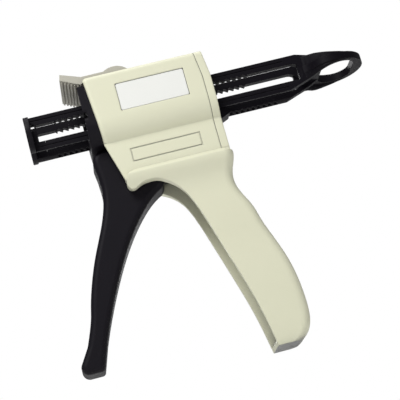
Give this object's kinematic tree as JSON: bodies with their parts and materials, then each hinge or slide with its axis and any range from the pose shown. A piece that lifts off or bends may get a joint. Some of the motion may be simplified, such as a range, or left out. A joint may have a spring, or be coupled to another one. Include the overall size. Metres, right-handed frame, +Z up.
{
  "type": "dental dispensing tool",
  "caption": "Hand-held ratchet dispenser for side-by-side cartridges: two-shell housing with pistol grip, long trigger, toothed twin-rod plunger with finger loop, clamp latch",
  "frame": {"origin": "centre of the cartridge seat, midway between the two push rods, on their axis plane", "axes": "+X along the push rods from the nose to the finger loop, +Z up with the grip hanging down, +Y to the side without the label"},
  "size_m": [0.1913, 0.046, 0.17],
  "materials": {
    "shell_plastic": "cream moulded plastic, fine satin",
    "black_plastic": "black moulded plastic, satin",
    "label": "near-white label plate, bare",
    "steel": "zinc-plated steel",
    "spring_steel": "spring steel",
    "pawl_metal": "die-cast, dull grey"
  },
  "bodies": {
    "housing": {"left_shell": "shell_plastic", "right_shell": "shell_plastic", "rear_cap": "shell_plastic", "label_plate": "label", "housing_screws": "steel", "cartridge_yoke": "black_plastic", "plunger_guide": "black_plastic", "trigger_pin": "steel", "latch_pin": "steel", "release_pin": "steel", "latch_spring": "spring_steel", "release_spring": "spring_steel"},
    "trigger": {"trigger": "black_plastic", "pawl_pin": "steel", "trigger_spring": "spring_steel", "pawl_spring": "spring_steel"},
    "pawl": {"drive_pawl": "pawl_metal"},
    "plunger": {"plunger_frame": "black_plastic", "left_disc": "black_plastic", "right_disc": "black_plastic"},
    "latch": {"latch_lever": "shell_plastic"},
    "release": {"release_lever": "black_plastic"}
  },
  "joints": [
    {"name": "plunger_slide", "type": "slide", "parent": "housing", "child": "plunger", "axis": [1, 0, 0], "range_m": [-0.0504, 0.0378]},
    {"name": "trigger_swing", "type": "hinge", "parent": "housing", "child": "trigger", "pos_m": [0.017, 0, -0.01385], "axis": [0, -1, 0], "range_deg": [0, 28], "stiffness_Nm_per_rad": 0.3, "springref_deg": -17.19},
    {"name": "pawl_pivot", "type": "hinge", "parent": "trigger", "child": "pawl", "pos_m": [0.0337, 0, 0.0016], "axis": [0, 1, 0], "range_deg": [0, 9], "stiffness_Nm_per_rad": 0.01},
    {"name": "latch_swing", "type": "hinge", "parent": "housing", "child": "latch", "pos_m": [0.0205, 0, 0.0173], "axis": [0, 1, 0], "range_deg": [0, 65]},
    {"name": "release_press", "type": "hinge", "parent": "housing", "child": "release", "pos_m": [0.036, 0, -0.0174], "axis": [0, 1, 0], "range_deg": [-5, 6], "stiffness_Nm_per_rad": 0.2}
  ]
}
